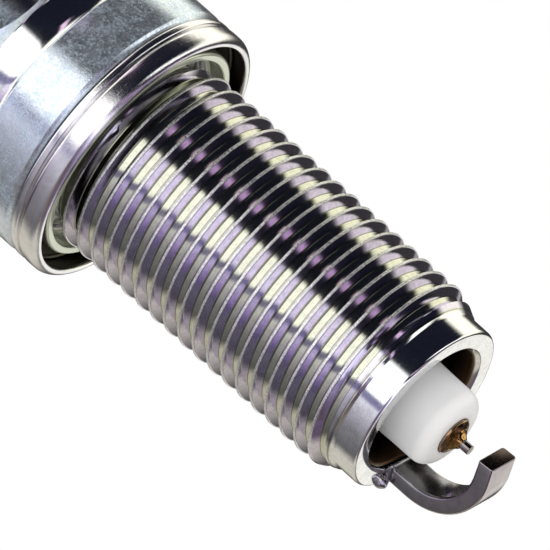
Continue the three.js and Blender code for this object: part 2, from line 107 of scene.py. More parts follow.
class ShellSizes(bpy.types.PropertyGroup):
    end_z: length("Firing end", "Height of the rim", cad_size("metal_shell", 0, 2))
    top_z: length("Crimped lip", "Height of the lip", cad_size("metal_shell", 1, 2))
    flange_r: length("Flange radius", "Radius of the seating flange", 0.0094)
    neck_r: length("Neck radius", "Radius between flange and hexagon", 0.0075)
    flats: length("Hexagon", "Distance across the flats", 0.016)
    pitch: length("Thread pitch", "Height of one turn", 0.00125)
    crest_r: length("Thread crest", "Radius over the crests", 0.006875)
    root_r: length("Thread root", "Radius of the groove's foot", 0.006235)
    crest_z: length("Thread start", "Height of a crest on the X axis", 0.00049)
    nose_r: length("Nose radius", "Radius of the plain nose", 0.00605)
    nose_length: length("Nose length", "Plain length below the thread", 0.0017)
    plating: colour("Plating", "Colour of the plated steel", (0.69, 0.655, 0.755))
    shine: amount("Roughness", "Roughness of the plated steel", 0.10)


class GasketSizes(bpy.types.PropertyGroup):
    radius: length("Radius", "Outside radius", cad_size("gasket", 1, 0))
    height: length("Height", "Height of the folded ring", cad_size("gasket", 1, 2))
    hole_r: length("Hole", "Radius of the hole", 0.00695)
    steel: colour("Steel", "Colour of the gasket", (0.80, 0.79, 0.80))


class InsulatorSizes(bpy.types.PropertyGroup):
    end_z: length("Firing end", "Height of the nose's end", cad_size("insulator", 0, 2))
    top_z: length("Top", "Height of the ribbed head's end", cad_size("insulator", 1, 2))
    tip_r: length("Tip radius", "Radius at the firing end", 0.00275)
    head_r: length("Head radius", "Radius of the ribs", 0.0052)
    ribs: bpy.props.IntProperty(name="Ribs", description="Number of ribs", default=5, min=0)
    glaze: colour("Alumina", "Colour of the ceramic", (0.86, 0.86, 0.87))


class ElectrodeSizes(bpy.types.PropertyGroup):
    rod_r: length("Rod radius", "Radius of the centre electrode", 0.00125)
    tip_r: length("Tip radius", "Radius of the precious wire", 0.000325)
    tip_z: length("Tip end", "Height of the wire's end", cad_size("firing_tip", 0, 2))
    bar_width: length("Bar width", "Width of the ground electrode", 0.0024)
    bar_depth: length("Bar depth", "Thickness of the ground electrode", 0.00115)
    foot_x: length("Bar foot", "Middle of the bar at the rim", -0.0048)
    bend_z: length("Bend height", "Height where the bend starts", -0.026)
    bend_r: length("Bend radius", "Radius to the bar's middle", 0.00415)
    sweep: angle("Bend angle", "Angle of the bend", math.radians(95))
    arm: length("Arm", "Straight length past the bend", 0.0013)
    alloy: colour("Alloy", "Colour of the nickel alloy", (0.40, 0.385, 0.39))
    fused: colour("Fused cone", "Colour of the fused cone", (0.44, 0.25, 0.07))


class TerminalSizes(bpy.types.PropertyGroup):
    stud_top: length("Stud top", "Height of the stud's end", cad_size("terminal_stud", 1, 2))
    stud_foot: length("Stud foot", "Height of the stud's foot", cad_size("terminal_stud", 0, 2))
    nut_top: length("Nut top", "Height of the nut's end", cad_size("terminal_nut", 1, 2))
    nut_foot: length("Nut foot", "Height of the nut's foot", cad_size("terminal_nut", 0, 2))
    pitch: length("Stud pitch", "Height of one turn of the stud's thread", 0.0007)
    steel: colour("Steel", "Colour of the stud", (0.56, 0.56, 0.58))


class StageSettings(bpy.types.PropertyGroup):
    elevation: angle("Elevation", "Camera's angle above the level", math.radians(-19.5))
    roll: angle("Roll", "Turn of the picture about the view", math.radians(41.8))
    distance: length("Distance", "From the aim to the camera", 0.9)
    aim_z: length("Aim", "Height of the aim on the axis", -0.0113)
    frame: length("Frame", "Width of the view at the aim", 0.03345)
    floor_z: length("Floor", "Height of the floor", -0.40)
    floor: colour("Floor", "Colour of the floor", (0.86, 0.86, 0.85))


def in_mm(settings):
    """Every length of a property group in millimetres, and its other values as they are."""
    values = {}
    for name, prop in settings.bl_rna.properties.items():
        if name in {"rna_type", "name"}:
            continue
        value = getattr(settings, name)
        values[name] = value / MM if getattr(prop, "unit", "") == "LENGTH" else value
    return SimpleNamespace(**values)


# ------------------------------------------------------------------ shaping

def of_kind(kind, items):
    return [item for item in items if isinstance(item, kind)]


def wire(bm, points, closed=False):
    """Wire in the XZ plane through (radius, height) or (radius, height, setback, steps) points."""
    verts = [bm.verts.new((point[0], 0.0, point[1])) for point in points]
    pairs = list(zip(verts, verts[1:]))
    if closed:
        pairs.append((verts[-1], verts[0]))
    for pair in pairs:
        bm.edges.new(pair)
    rounds = {}
    for vert, point in zip(verts, points):
        if len(point) > 2:
            rounds.setdefault(tuple(point[2:]), []).append(vert)
    for (setback, steps), corners in rounds.items():
        bmesh.ops.bevel(
            bm, geom=corners, offset=setback, offset_type="OFFSET", segments=steps,
            profile=0.5, affect="VERTICES", material=-1,
        )


def turn(bm, steps):
    """Full spin of everything in the bmesh about the plug's axis."""
    bmesh.ops.spin(
        bm, geom=bm.verts[:] + bm.edges[:], cent=ORIGIN, axis=AXIS, dvec=ORIGIN,
        angle=math.tau, steps=steps, use_merge=True,
    )
    bmesh.ops.remove_doubles(bm, verts=bm.verts, dist=MERGE)


def turned(points, steps=96, closed=True):
    """Turned piece from a profile, which closes on itself unless one end is on the axis."""
    bm = bmesh.new()
    wire(bm, points, closed and points[0][0] > 0.0 and points[-1][0] > 0.0)
    turn(bm, steps)
    return bm


def join(bm, other):
    """Adds another bmesh to the first."""
    spare = bpy.data.meshes.new("spare")
    other.to_mesh(spare)
    other.free()
    bm.from_mesh(spare)
    bpy.data.meshes.remove(spare)


def cut(bm, place, outward):
    """Trims everything on the outward side of a plane, and gives back the edges of the cut."""
    trimmed = bmesh.ops.bisect_plane(
        bm, geom=bm.verts[:] + bm.edges[:] + bm.faces[:], dist=1e-6,
        plane_co=place, plane_no=outward, clear_outer=True,
    )
    return of_kind(bmesh.types.BMEdge, trimmed["geom_cut"])


def ring_at(bm, height, radius):
    """Open edges that lie on one circle about the axis."""
    def on_circle(vert):
        return (
            abs(vert.co.z - height) < 1e-3
            and abs(math.hypot(vert.co.x, vert.co.y) - radius) < 0.02
        )
    return [e for e in bm.edges if e.is_boundary and all(on_circle(v) for v in e.verts)]


def screw(section, pitch, crest_z, bottom, top, steps):
    """Open surface of a right-hand thread from one pitch of section, cut off level."""
    bm = bmesh.new()
    first = crest_z - pitch / 2
    first += math.floor((bottom - first) / pitch - 1) * pitch
    wire(bm, [(point[0], point[1] + first, *point[2:]) for point in section])
    bmesh.ops.spin(
        bm, geom=bm.verts[:] + bm.edges[:], cent=ORIGIN, axis=AXIS,
        dvec=(0.0, 0.0, pitch / steps), angle=math.tau, steps=steps, use_merge=False,
    )
    one_turn = bm.verts[:] + bm.edges[:] + bm.faces[:]
    for turn_count in range(1, math.ceil((top - first) / pitch) + 1):
        copied = bmesh.ops.duplicate(bm, geom=one_turn)
        verts = of_kind(bmesh.types.BMVert, copied["geom"])
        bmesh.ops.translate(bm, vec=UP * pitch * turn_count, verts=verts)
    bmesh.ops.remove_doubles(bm, verts=bm.verts, dist=MERGE)
    cut(bm, UP * bottom, -UP)
    cut(bm, UP * top, UP)
    return bm


def bridge(bm, radius, *heights):
    """Closes the narrow gap between two open rings of one radius."""
    edges = [edge for height in heights for edge in ring_at(bm, height, radius)]
    bmesh.ops.bridge_loops(bm, edges=edges)


def run_out(bm, root_r, foot, foot_slope, head, head_slope):
    """Draws a thread's ridge in to its root towards both of its ends."""
    for vert in bm.verts:
        radius = math.hypot(vert.co.x, vert.co.y)
        limit = root_r + min((vert.co.z - foot) * foot_slope, (head - vert.co.z) * head_slope)
        if radius > limit:
            vert.co.x *= limit / radius
            vert.co.y *= limit / radius


FLANK_SUPPORTS = (0.14, 0.88)  # places up a flank whose points keep it flat when shaded smooth


def thread_section(pitch, root_r, crest_r, root_half, crest_half, root_round, crest_round):
    """One pitch of a thread from root to root, with rounded corners and flat flanks."""
    middle = pitch / 2
    rise = middle - crest_half - root_half
    lower = [
        (root_r + share * (crest_r - root_r), root_half + share * rise)
        for share in FLANK_SUPPORTS
    ]
    upper = [(radius, pitch - height) for radius, height in reversed(lower)]
    return [
        (root_r, 0.0),
        (root_r, root_half, root_round, 4),
        *lower,
        (crest_r, middle - crest_half, crest_round, 3),
        (crest_r, middle + crest_half, crest_round, 3),
        *upper,
        (root_r, pitch - root_half, root_round, 4),
        (root_r, pitch),
    ]


def stamp_finish(bm, name, material, node, body="plug", crease=24.0):
    """Finishes an object in metres, shown in place of its CAD node."""
    bmesh.ops.remove_doubles(bm, verts=bm.verts, dist=MERGE)
    bmesh.ops.recalc_face_normals(bm, faces=bm.faces)
    bmesh.ops.scale(bm, vec=(MM, MM, MM), verts=bm.verts)
    mesh = bpy.data.meshes.new(name)
    bm.to_mesh(mesh)
    bm.free()
    mesh.shade_smooth()
    mesh.set_sharp_from_angle(angle=math.radians(crease))
    mesh.materials.append(material)
    piece = bpy.data.objects.new(name, mesh)
    bpy.context.scene.collection.objects.link(piece)
    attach(piece, body)
    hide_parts(node)


# ------------------------------------------------------------------ shader groups

class Graph:
    """Adds nodes to one tree and links them."""

    def __init__(self, tree):
        self.tree = tree

    def feed(self, socket, value):
        """Links a socket to another one, or gives it a constant."""
        if isinstance(value, bpy.types.NodeSocket):
            self.tree.links.new(value, socket)
        else:
            socket.default_value = value

    def node(self, kind, feeds=None, **settings):
        node = self.tree.nodes.new(kind)
        for name, value in settings.items():
            setattr(node, name, value)
        for name, value in (feeds or {}).items():
            self.feed(node.inputs[name], value)
        return node

    def math(self, operation, first, second=0.0):
        return self.node("ShaderNodeMath", {0: first, 1: second}, operation=operation).outputs[0]

    def times(self, first, second):
        return self.math("MULTIPLY", first, second)

    def tally(self, total, *parts):
        """A total plus (value, weight) pairs."""
        for value, weight in parts:
            total = self.math("ADD", total, self.times(value, weight))
        return total

    def dot(self, first, second):
        node = self.node("ShaderNodeVectorMath", {0: first, 1: second}, operation="DOT_PRODUCT")
        return node.outputs["Value"]

    def scaled(self, vector, factor):
        node = self.node("ShaderNodeVectorMath", {0: vector, "Scale": factor}, operation="SCALE")
        return node.outputs["Vector"]

    def fit(self, value, low, high, to_low=0.0, to_high=1.0, smooth=False):
        """Value moved from one span to another and held inside it."""
        return self.node(
            "ShaderNodeMapRange",
            {"Value": value, "From Min": low, "From Max": high, "To Min": to_low,
             "To Max": to_high},
            interpolation_type="SMOOTHSTEP" if smooth else "LINEAR",
        ).outputs["Result"]

    def mix(self, factor, first, second, blend="MIX"):
        node = self.node("ShaderNodeMix", data_type="RGBA", blend_type=blend)
        for index, value in ((0, factor), (6, first), (7, second)):
            self.feed(node.inputs[index], value)
        return node.outputs[2]

    def over(self, shade, *layers):
        """Lays (mask, shade) pairs over a shade, the last one on top."""
        for mask, layer in layers:
            shade = self.mix(mask, shade, layer)
        return shade

    def ramp(self, value, stops):
        node = self.node("ShaderNodeValToRGB", {0: value})
        elements = node.color_ramp.elements
        while len(elements) < len(stops):
            elements.new(1.0)
        for element, (position, shade) in zip(elements, stops):
            element.position = position
            element.color = (*shade, 1.0)
        return node.outputs["Color"]

    def noise(self, vector, scale, detail=2.0, roughness=0.5, distortion=0.0):
        return self.node(
            "ShaderNodeTexNoise",
            {"Vector": vector, "Scale": scale, "Detail": detail, "Roughness": roughness,
             "Distortion": distortion},
        ).outputs["Fac"]


def new_group(name, outputs, **numbers):
    """Shader group with its numbers: its graph, its inputs and its place in millimetres."""
    tree = bpy.data.node_groups.new(name, "ShaderNodeTree")
    sockets = tree.interface
    sockets.new_socket(name="Coordinates", in_out="INPUT", socket_type="NodeSocketVector")
    for label, default in numbers.items():
        socket = sockets.new_socket(name=label, in_out="INPUT", socket_type="NodeSocketFloat")
        socket.default_value = default
    for label in outputs:
        sockets.new_socket(name=label, in_out="OUTPUT", socket_type="NodeSocketFloat")
    graph = Graph(tree)
    start = graph.node("NodeGroupInput").outputs
    return graph, start, graph.scaled(start["Coordinates"], 1.0 / MM)


def send(graph, **values):
    """Ends a shader group with its outputs."""
    graph.node("NodeGroupOutput", values)
    return graph.tree


def from_axis(graph, placed):
    """Distance from the plug's axis, and height."""
    parts = graph.node("ShaderNodeSeparateXYZ", {0: placed}).outputs
    flat = graph.node("ShaderNodeCombineXYZ", {0: parts[0], 1: parts[1]}).outputs[0]
    radius = graph.node("ShaderNodeVectorMath", {0: flat}, operation="LENGTH").outputs["Value"]
    return radius, parts[2]


def grain_group():
    """Fine speckle of a rolled or fired surface: a value about 0.5 and a height."""
    graph, start, placed = new_group("Grain", ("Value", "Height"), Size=0.1, Depth=0.5)
    scale = graph.math("DIVIDE", 1.0, start["Size"])
    fine = graph.noise(placed, scale, 3.0, 0.6)
    broad = graph.noise(placed, graph.times(scale, 0.22), 2.0)
    value = graph.tally(0.0, (fine, 0.65), (broad, 0.35))
    return send(graph, Value=value, Height=graph.times(value, start["Depth"]))


def turning_group():
    """Faint rings that a tool leaves on a turned face, as a height."""
    graph, start, placed = new_group("Turning marks", ("Height",), Spacing=0.1, Depth=0.3)
    radius, height = from_axis(graph, placed)
    step = graph.math("DIVIDE", graph.tally(height, (radius, 0.9)), start["Spacing"])
    line = graph.node("ShaderNodeTexNoise", {"W": step, "Scale": 1.0, "Detail": 2.0},
                      noise_dimensions="1D").outputs["Fac"]
    return send(graph, Height=graph.times(line, start["Depth"]))


def radius_group():
    """Mask by distance from the plug's axis, with that distance and the height in millimetres."""
    graph, start, placed = new_group("Radius bands", ("Mask", "Radius", "Height"),
                                     Inner=6.0, Outer=7.0)
    radius, height = from_axis(graph, placed)
    mask = graph.fit(radius, start["Inner"], start["Outer"])
    return send(graph, Mask=mask, Radius=radius, Height=height)


def smudge_group():
    """Broad handling marks: a mask for colour and roughness."""
    graph, start, placed = new_group("Smudges", ("Mask",), Size=3.0, Amount=0.5)
    cloud = graph.noise(placed, graph.math("DIVIDE", 1.0, start["Size"]), 4.0, 0.6, 0.4)
    mask = graph.fit(cloud, 0.42, 0.72, smooth=True)
    return send(graph, Mask=graph.times(mask, start["Amount"]))


def scratch_group():
    """Sparse hairline scratches that run round the piece, as a mask."""
    graph, start, placed = new_group("Scratches", ("Mask",), Length=2.0, Amount=0.5)
    stretched = graph.node(
        "ShaderNodeMapping", {"Vector": placed, "Rotation": (0.3, 0.15, 0.5),
                              "Scale": (0.35, 0.35, 9.0)}
    ).outputs[0]
    thin = graph.noise(stretched, graph.math("DIVIDE", 2.0, start["Length"]), 3.0, 0.7)
    return send(graph, Mask=graph.times(graph.fit(thin, 0.62, 0.70), start["Amount"]))


GROUP_MAKERS = {
    "Grain": grain_group,
    "Turning marks": turning_group,
    "Radius bands": radius_group,
    "Smudges": smudge_group,
    "Scratches": scratch_group,
}


# ------------------------------------------------------------------ finishes

class Finish:
    """One Principled material whose patterns come from the shader groups."""

    def __init__(self, name, tint, metallic, roughness):
        self.material = bpy.data.materials.new(name)
        self.material.use_nodes = True
        self.material.diffuse_color = rgb(*tint)
        self.graph = Graph(self.material.node_tree)
        self.shader = self.material.node_tree.nodes["Principled BSDF"].inputs
        self.set("Base Color", rgb(*tint))
        self.set("Metallic", metallic)
        self.set("Roughness", roughness)
        self.place = self.graph.node("ShaderNodeTexCoord").outputs["Object"]

    def group(self, name, **numbers):
        """Outputs of the named shader group, fed with Object coordinates and its numbers."""
        tree = bpy.data.node_groups.get(name) or GROUP_MAKERS[name]()
        feeds = {"Coordinates": self.place, **numbers}
        return self.graph.node("ShaderNodeGroup", feeds, node_tree=tree).outputs

    def grain(self, size):
        return self.group("Grain", Size=size, Depth=1.0)

    def heights(self):
        """Distance from the axis and height, both in millimetres."""
        zone = self.group("Radius bands")
        return zone["Radius"], zone["Height"]

    def set(self, socket, value):
        self.graph.feed(self.shader[socket], value)

    def lay_over(self, mask, shade):
        """Puts a shade over the colour that is already there."""
        below = self.shader["Base Color"].links[0].from_socket
        self.set("Base Color", self.graph.mix(mask, below, shade))

    def relief(self, height, distance):
        """Bump in millimetres."""
        bump = self.graph.node(
            "ShaderNodeBump", {"Height": height, "Distance": distance * MM, "Strength": 1.0}
        )
        self.set("Normal", bump.outputs["Normal"])


def rgb(red, green, blue):
    return (red, green, blue, 1.0)


def darker(tint, share):
    return rgb(*(share * part for part in tint))


ROOT_CREAM = rgb(0.60, 0.61, 0.49)
# Painted shadow: dark colour in the thread root's corner, where the next flank shades it
PAINTED_CORNER_SHADOW = rgb(0.22, 0.22, 0.17)
# Painted highlight: the thread's crests are painted near white
PAINTED_CREST_HIGHLIGHT = rgb(0.93, 0.93, 0.92)
PLAIN_PLATE = rgb(0.83, 0.84, 0.83)
FLANGE_PLATE = rgb(0.74, 0.80, 0.86)
FLANGE_PATCH = rgb(0.52, 0.64, 0.76)
FINGER_MARK = rgb(0.50, 0.47, 0.46)
# Painted shade inside the shell's bore: brownish at the mouth, near black deeper in
PAINTED_MOUTH_SHADE = rgb(0.16, 0.09, 0.045)
PAINTED_BORE_SHADOW = rgb(0.02, 0.017, 0.016)


def plating_finish(name, tint, roughness):
    """Bright plating: cream roots with a painted shadow in their corner, tinted flanks, dotted
    crests painted near white as a highlight, and painted shade in the bore.
    """
    made = Finish(name, tint, 1.0, roughness)
    graph = made.graph
    roots = made.group("Radius bands", Inner=6.27, Outer=6.33)
    crests = made.group("Radius bands", Inner=6.80, Outer=6.85)["Mask"]
    broad = made.group("Radius bands", Inner=8.0, Outer=8.1)["Mask"]
    smudge = made.group("Smudges", Size=2.2, Amount=0.5)["Mask"]
    scratch = made.group("Scratches", Length=2.0, Amount=0.5)["Mask"]
    turning = made.group("Turning marks", Spacing=0.06, Depth=0.25)["Height"]
    grain = made.grain(0.10)
    radius = roots["Radius"]
    height = roots["Height"]
    # Crest band: carries the painted crest highlight in the colour, plus bump and rough dots
    tarnish_and_crest_band = graph.times(crests, graph.fit(radius, 7.1, 7.0))
    dotted = graph.times(tarnish_and_crest_band, graph.fit(made.grain(0.11)["Value"], 0.45, 0.55))
    mottled = graph.times(broad, graph.fit(made.grain(0.20)["Value"], 0.42, 0.60))
    threaded = graph.times(graph.fit(height, -22.4, -22.2), graph.fit(height, 1.3, 1.1))
    # Painted shadow along the corner at the root's foot
    corner = graph.times(graph.fit(radius, 6.240, 6.250), graph.fit(radius, 6.295, 6.265))
    bored = graph.times(graph.fit(radius, 4.60, 4.52), graph.fit(height, 19.0, 18.0))
    thread = graph.over(ROOT_CREAM, (roots["Mask"], rgb(*tint)), (corner, PAINTED_CORNER_SHADOW),
                        (tarnish_and_crest_band, PAINTED_CREST_HIGHLIGHT))
    shade = graph.over(PLAIN_PLATE, (broad, FLANGE_PLATE), (threaded, thread),
                       (graph.times(mottled, 0.75), FLANGE_PATCH))
    speck = graph.fit(grain["Value"], 0.38, 0.58, 0.80, 1.0)
    grey = graph.node("ShaderNodeCombineXYZ", {0: speck, 1: speck, 2: speck}).outputs[0]
    shade = graph.mix(1.0, shade, grey, "MULTIPLY")
    # Painted shade down the bore, darker deeper in
    bore_shade_paint = graph.mix(graph.fit(height, -24.25, -22.6), PAINTED_MOUTH_SHADE, PAINTED_BORE_SHADOW)
    made.set("Base Color", graph.over(shade, (graph.times(smudge, 0.2), FINGER_MARK),
                                      (bored, bore_shade_paint)))
    made.set("Metallic", graph.tally(1.0, (broad, -0.10), (mottled, -0.22)))
    made.set("Roughness", graph.tally(
        roughness, (broad, 0.03), (mottled, 0.10), (dotted, 0.28), (smudge, 0.05),
        (scratch, 0.12), (bored, 0.35),
    ))
    made.relief(graph.tally(
        0.0, (grain["Height"], graph.tally(0.06, (broad, 0.64), (tarnish_and_crest_band, 6.0))),
        (turning, graph.math("ADD", broad, 0.06)), (scratch, -0.1),
    ), 0.012)
    return made.material


def steel_finish(name, tint, roughness, grain_size=0.12, depth=0.012, tarnish_and_crest_band=0.3):
    """Plain steel with grain, turning marks and a little tarnish."""
    made = Finish(name, tint, 1.0, roughness)
    graph = made.graph
    grain = made.grain(grain_size)
    turning = made.group("Turning marks", Spacing=0.08, Depth=0.4)["Height"]
    smudge = made.group("Smudges", Size=1.6, Amount=tarnish_and_crest_band)["Mask"]
    scratch = made.group("Scratches", Length=1.5, Amount=0.5)["Mask"]
    made.set("Base Color", graph.mix(smudge, rgb(*tint), darker(tint, 0.55)))
    rough = graph.fit(grain["Value"], 0.3, 0.7, roughness - 0.05, roughness + 0.07)
    made.set("Roughness", graph.tally(rough, (scratch, 0.15)))
    made.relief(graph.math("ADD", grain["Height"], turning), depth)
    return made


def ceramic_finish(name, tint):
    """Alumina: bare and matt at the firing end, glazed above the shell."""
    made = Finish(name, tint, 0.0, 0.42)
    graph = made.graph
    height = made.heights()[1]
    grain = made.grain(0.14)
    smudge = made.group("Smudges", Size=2.5, Amount=0.35)["Mask"]
    glazed = graph.fit(height, 18.0, 19.0)
    fired = rgb(tint[0] * 0.97, tint[1] * 0.95, tint[2] * 0.93)
    marked = rgb(tint[0] * 0.93, tint[1] * 0.93, tint[2] * 0.92)
    made.set("Base Color", graph.over(fired, (graph.fit(height, -26.75, -25.4), rgb(*tint)),
                                      (graph.times(smudge, 0.5), marked)))
    made.set("Coat Weight", glazed)
    made.set("Coat Roughness", 0.06)
    made.set("Roughness", graph.fit(grain["Value"], 0.3, 0.7, 0.38, 0.5))
    made.relief(graph.times(grain["Height"], graph.tally(1.0, (glazed, -0.8))), 0.01)
    return made.material


def heated_finish(name, tint, hot, roughness, low, high, depth=0.004):
    """Alloy whose colour runs to a heat tint between two heights in millimetres."""
    made = Finish(name, tint, 1.0, roughness)
    graph = made.graph
    grain = made.grain(0.08)
    smudge = made.group("Smudges", Size=0.9, Amount=0.8)["Mask"]
    scratch = made.group("Scratches", Length=0.8, Amount=0.6)["Mask"]
    heat = graph.fit(made.heights()[1], low, high, smooth=True)
    made.set("Base Color", graph.over(rgb(*tint), (heat, rgb(*hot)),
                                      (graph.times(smudge, 0.5), darker(tint, 0.6))))
    rough = graph.fit(grain["Value"], 0.3, 0.7, roughness - 0.06, roughness + 0.1)
    made.set("Roughness", graph.tally(rough, (scratch, 0.12)))
    made.relief(graph.tally(grain["Height"], (scratch, -0.4)), depth)
    return made


def mineral_finish(name, tint, fleck, metallic, roughness, size, depth):
    """Pressed or fused powder with darker flecks."""
    made = Finish(name, tint, metallic, roughness)
    graph = made.graph
    grain = made.grain(size)
    smudge = made.group("Smudges", Size=1.0, Amount=0.6)["Mask"]
    flecked = graph.fit(grain["Value"], 0.52, 0.62)
    made.set("Base Color", graph.over(rgb(*tint), (flecked, rgb(*fleck)),
                                      (graph.times(smudge, 0.3), darker(tint, 0.8))))
    made.set("Roughness", graph.fit(grain["Value"], 0.3, 0.7, roughness - 0.08,
                                    min(1.0, roughness + 0.08)))
    made.relief(grain["Height"], depth)
    return made.material


# ------------------------------------------------------------------ pieces

SHELL_STEPS = 192
THREAD_STEPS = 128
THREAD_ABOVE_NOSE = 0.25
THREAD_HEAD_Z = 0.95
LEAD_IN_LENGTH = 1.25  # height over which the thread rises from its root to its crest
HEAD_STEEPNESS = 1.6  # how much faster it runs out below the flange
SEAM = 0.03  # height of the band that joins a thread to its turned body


def shell_lower(size):
    """Spun part of the shell from the thread's foot round the rim and up the bore to the lip."""
    nose_top = size.end_z + size.nose_length
    return [
        (size.root_r, nose_top + THREAD_ABOVE_NOSE - SEAM),
        (size.nose_r, nose_top, 0.10, 2),
        (size.nose_r, size.end_z, 0.26, 4),
        (4.80, size.end_z, 0.08, 2),
        (4.45, size.end_z + 0.35, 0.08, 2),
        (4.45, -13.2, 0.3, 2),
        (3.95, -12.3, 0.2, 2),
        (3.95, -11.1, 0.1, 2),
        (4.75, -10.55, 0.1, 2),
        (4.75, 5.4, 0.2, 2),
        (6.55, 6.9, 0.2, 2),
        (6.55, 18.35, 0.3, 3),
        (5.6, 19.15, 0.15, 2),
        (5.6, size.top_z, 0.12, 3),
    ]


def shell_upper(size):
    """Spun part of the shell from the lip down over the hexagon's blank to the neck."""
    corner_r = size.flats / 2 / math.cos(math.pi / 6) - 0.12
    return [
        (5.6, size.top_z, 0.12, 3),
        (6.15, size.top_z, 0.55, 4),
        (7.35, 18.95, 0.35, 4),
        (7.42, 18.28, 0.05, 2),
        (7.72, 18.22, 0.08, 2),
        (corner_r, 17.35, 0.10, 2),
        (corner_r, 10.24, 0.10, 2),
        (7.74, 8.94, 0.05, 3),
        (size.neck_r, 8.36, 0.9, 8),
        (size.neck_r, 7.4),
    ]


def shell_flange(size):
    """Spun part of the shell from the neck over the flange to the relief above the thread."""
    return [
        (size.neck_r, 7.4),
        (size.neck_r, 6.05, 1.3, 8),
        (size.flange_r, 6.05, 0.16, 4),
        (size.flange_r, 2.62, 0.10, 3),
        (size.flange_r - 0.36, 2.25, 0.08, 2),
        (6.09, 2.25, 0.10, 2),
        (6.09, 1.25, 0.10, 2),
        (size.root_r, THREAD_HEAD_Z + SEAM),
    ]


def hexagon_cut(bm, flats):
    """Planes off six flats and closes each with a face."""
    for side in range(6):
        turn_by = math.radians(60 * side + 30)
        outward = Vector((math.cos(turn_by), math.sin(turn_by), 0.0))
        bmesh.ops.holes_fill(bm, edges=cut(bm, outward * flats / 2, outward))


class PLUG_OT_metal_shell(bpy.types.Operator):
    """Make the threaded steel shell with its hexagon, flange and crimped lip"""

    bl_idname = "plug.metal_shell"
    bl_label = "Metal shell"

    def execute(self, context):
        size = in_mm(context.scene.plug_shell)
        foot = size.end_z + size.nose_length + THREAD_ABOVE_NOSE
        head = THREAD_HEAD_Z
        lead_in = (size.crest_r - size.root_r) / LEAD_IN_LENGTH
        section = thread_section(
            size.pitch, size.root_r, size.crest_r, root_half=0.20, crest_half=0.075,
            root_round=0.03, crest_round=0.035,
        )
        bm = screw(section, size.pitch, size.crest_z, foot, head, THREAD_STEPS)
        run_out(bm, size.root_r, foot, lead_in, head, lead_in * HEAD_STEEPNESS)
        join(bm, turned(shell_lower(size), SHELL_STEPS, closed=False))
        upper = turned(shell_upper(size), SHELL_STEPS, closed=False)
        hexagon_cut(upper, size.flats)
        join(bm, upper)
        join(bm, turned(shell_flange(size), SHELL_STEPS, closed=False))
        bmesh.ops.remove_doubles(bm, verts=bm.verts, dist=MERGE)
        bridge(bm, size.root_r, foot, foot - SEAM)
        bridge(bm, size.root_r, head, head + SEAM)
        material = plating_finish("Bright plating", context.scene.plug_shell.plating, size.shine)
        stamp_finish(bm, "Plated_shell", material, "metal_shell")
        return {"FINISHED"}


CREASE_Z = 1.55
# Painted shadow: near black in the gasket's hollow under its rolled lip
PAINTED_HOLLOW_SHADOW = rgb(0.03, 0.026, 0.016)
# Painted light: the gasket's inner fold is painted light cream and made less metallic
PAINTED_FOLD_LIGHT = rgb(0.62, 0.66, 0.53)


class PLUG_OT_gasket(bpy.types.Operator):
    """Make the folded steel gasket"""

    bl_idname = "plug.gasket"
    bl_label = "Gasket"

    def execute(self, context):
        size = in_mm(context.scene.plug_gasket)
        top = size.height
        outer = size.radius
        bm = turned([
            (size.hole_r, top - 0.46, 0.06, 2),
            (size.hole_r + 0.3, top - 0.5, 0.1, 2),
            (7.28, 0.45, 0.15, 3),
            (7.88, 0.45, 0.2, 4),
            (7.90, 1.68, 0.2, 3),
            (9.02, 1.60, 0.3, 4),
            (9.02, 0.42, 0.2, 3),
            (8.72, 0.36, 0.12, 3),
            (8.72, 0.0, 0.12, 3),
            (outer, 0.0, 0.62, 8),
            (outer, CREASE_Z - 0.1, 0.28, 4),
            (outer - 0.24, CREASE_Z, 0.05, 2),
            (outer, CREASE_Z + 0.1, 0.1, 3),
            (outer, top, 0.22, 5),
            (size.hole_r, top, 0.08, 2),
        ], 192)
        steel = context.scene.plug_gasket.steel
        made = steel_finish("Gasket steel", steel, 0.17, 0.09, 0.008, 0.25)
        graph = made.graph
        radius, height = made.heights()
        hollow = graph.times(graph.fit(radius, 7.80, 7.90), graph.fit(radius, 9.1, 9.05))
        raised = graph.fit(height, 0.36, 0.46)
        # Painted light on the inner fold
        lit_fold = graph.times(graph.fit(radius, 7.95, 7.85), graph.fit(height, 1.75, 1.65))
        # Painted shadow in the hollow
        made.lay_over(graph.times(hollow, raised), PAINTED_HOLLOW_SHADOW)
        made.lay_over(lit_fold, PAINTED_FOLD_LIGHT)
        made.set("Metallic", graph.tally(1.0, (lit_fold, -0.4)))
        stamp_finish(bm, "Folded_gasket", made.material, "gasket", "gasket")
        return {"FINISHED"}


FIRST_RIB_Z = 23.6
RIB_PITCH = 2.4


def insulator_profile(size):
    """Outside of the insulator from the nose over the ribs, then down its stepped bore."""
    ribs = []
    for rib in range(size.ribs):
        z = FIRST_RIB_Z + rib * RIB_PITCH
        ribs += [
            (size.head_r, z, 0.30, 5),
            (size.head_r - 0.55, z + 0.45, 0.22, 4),
            (size.head_r - 0.55, z + 1.05, 0.22, 4),
            (size.head_r, z + 1.5, 0.30, 5),
        ]
    return [
        (1.29, size.end_z, 0.10, 3),
        (size.tip_r, size.end_z, 1.0, 10),
        (size.tip_r, size.end_z + 2.4),
        (2.85, -20.5),
        (3.45, -13.4, 0.3, 2),
        (3.68, -11.9, 0.05, 2),
        (3.7, -10.82, 0.05, 2),
        (4.6, -10.2, 0.1, 2),
        (4.6, 5.7, 0.3, 3),
        (6.4, 7.2, 0.3, 3),
        (6.4, 12.4, 0.3, 3),
        (5.25, 13.4, 0.3, 3),
        (5.25, 20.5, 0.05, 2),
        (5.2, 20.9, 0.05, 2),
        *ribs,
        (4.75, 36.0, 0.4, 4),
        (4.3, size.top_z - 0.9, 0.2, 2),
        (4.3, size.top_z, 0.6, 6),
        (2.1, size.top_z, 0.12, 3),
        (2.0, size.top_z - 0.3),
        (2.0, -9.2),
        (1.29, -9.65),
    ]


